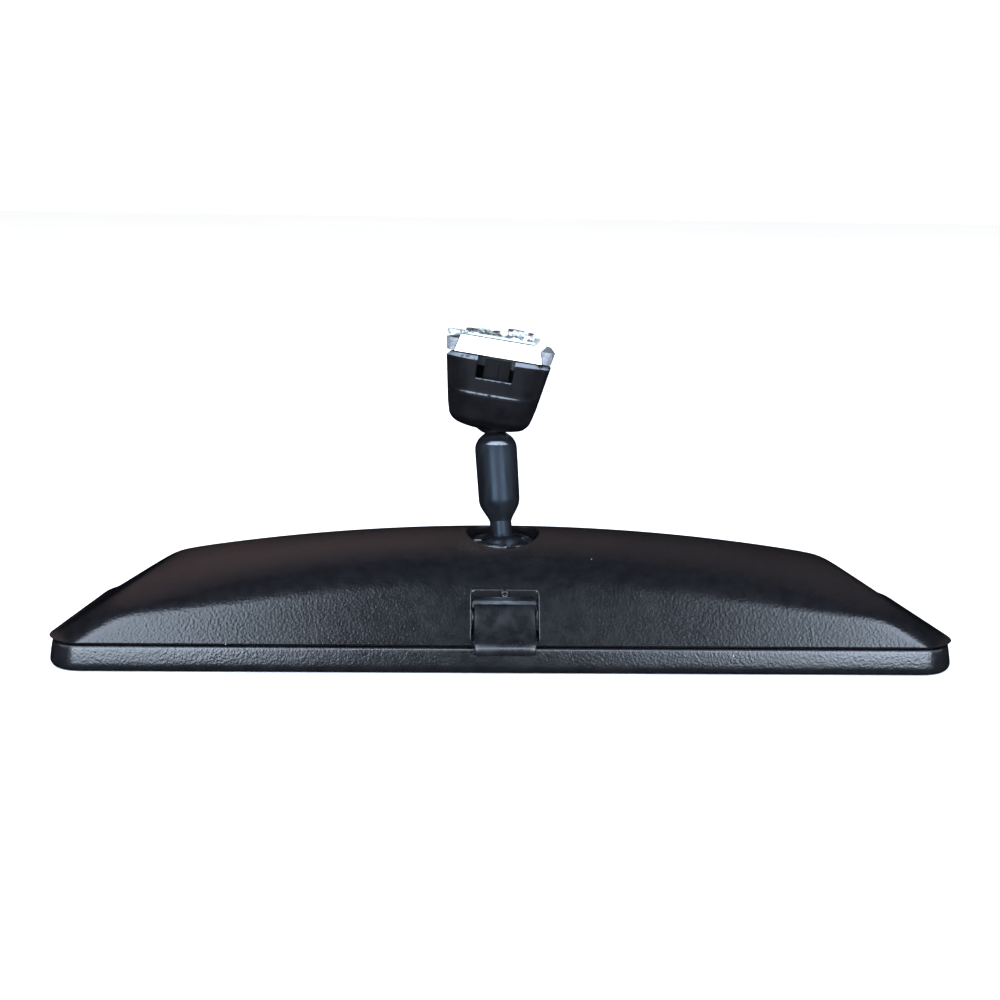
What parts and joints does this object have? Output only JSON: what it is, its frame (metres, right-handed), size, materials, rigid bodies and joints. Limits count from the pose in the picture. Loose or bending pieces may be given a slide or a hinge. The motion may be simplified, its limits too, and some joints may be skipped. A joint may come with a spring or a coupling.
{
  "type": "interior rearview mirror",
  "caption": "Interior rear-view mirror for a car: long prism-glass head with a day/night lever, on a double-ball arm that ends in a windscreen mount with its bonding button.",
  "frame": {"origin": "middle of the head's footprint, lever lip included, on the plane that the bezel's rim rests on", "axes": "+X along the mirror's length, -Y towards its lower edge with the lever, +Z from the glass towards the back cover and the arm"},
  "size_m": [0.249, 0.069, 0.0898],
  "materials": {
    "housing_plastic": "grained black plastic",
    "bezel_plastic": "grained black plastic",
    "mirror_glass": "silvered prism glass",
    "backing_paint": "matt backing paint",
    "zinc": "die-cast zinc, dull",
    "steel": "plated steel",
    "spring_steel": "spring steel",
    "lever_plastic": "semi-gloss black plastic",
    "nylon": "natural nylon",
    "collar_black": "worn black coating",
    "arm_paint": "satin black coating",
    "mount_plastic": "black plastic",
    "button_metal": "bright pale metal",
    "adhesive": "cured adhesive"
  },
  "bodies": {
    "head": {"rear_housing": "housing_plastic", "bezel_frame": "bezel_plastic", "prism_glass": "mirror_glass", "glass_backing": "backing_paint", "toggle_base_plate": "zinc", "base_screw_1": "steel", "base_screw_2": "steel", "base_screw_3": "steel", "base_screw_4": "steel", "lever_pivot_pin": "steel", "bracket_hinge_pin": "steel", "detent_spring": "spring_steel"},
    "lever": {"day_night_lever": "lever_plastic"},
    "carrier": {"socket_carrier": "zinc", "lower_ball_seat": "nylon", "lower_seat_spring": "spring_steel", "ball_collar": "collar_black"},
    "ball_low": {"lower_ball": "arm_paint"},
    "neck": {"lower_neck": "arm_paint"},
    "arm": {"arm_sleeve": "arm_paint"},
    "ball_high": {"upper_ball": "arm_paint"},
    "seat_high": {"upper_ball_seat": "nylon"},
    "mount": {"mount_channel": "zinc", "mount_shell": "mount_plastic", "upper_seat_spring": "spring_steel", "locking_spring": "spring_steel", "windscreen_button": "button_metal", "bonding_film": "adhesive"}
  },
  "joints": [
    {"name": "lever_flip", "type": "hinge", "parent": "head", "child": "lever", "pos_m": [0, -0.0188, 0.0125], "axis": [-1, 0, 0], "range_deg": [0, 40]},
    {"name": "head_tilt", "type": "hinge", "parent": "head", "child": "carrier", "pos_m": [0, 0.0217, 0.0149], "axis": [1, 0, 0], "range_deg": [0, 4.2]},
    {"name": "lower_pitch", "type": "hinge", "parent": "carrier", "child": "ball_low", "pos_m": [0, 0.0017, 0.0265], "axis": [1, 0, 0], "range_deg": [-6, 34]},
    {"name": "lower_sway", "type": "hinge", "parent": "ball_low", "child": "neck", "pos_m": [0, 0.0017, 0.0265], "axis": [0, 0.9613, -0.2756], "range_deg": [-11, 17]},
    {"name": "arm_swivel", "type": "hinge", "parent": "neck", "child": "arm", "pos_m": [0, 0.0017, 0.0265], "axis": [-0.0698, 0.275, 0.9589], "continuous": true},
    {"name": "upper_pitch", "type": "hinge", "parent": "arm", "child": "ball_high", "pos_m": [-0.00286, 0.01297, 0.06582], "axis": [0.9976, 0.0192, 0.0671], "range_deg": [-34, 6]},
    {"name": "upper_sway", "type": "hinge", "parent": "ball_high", "child": "seat_high", "pos_m": [-0.00286, 0.01297, 0.06582], "axis": [-0.0171, 0.9993, -0.0323], "range_deg": [-23, 1.5]},
    {"name": "mount_swivel", "type": "hinge", "parent": "seat_high", "child": "mount", "pos_m": [-0.00286, 0.01297, 0.06582], "axis": [0.1445, 0.0345, 0.9889], "continuous": true}
  ],
  "couplings": [
    {"joint": "head_tilt", "follows": "lever_flip", "ratio": 0.105}
  ]
}
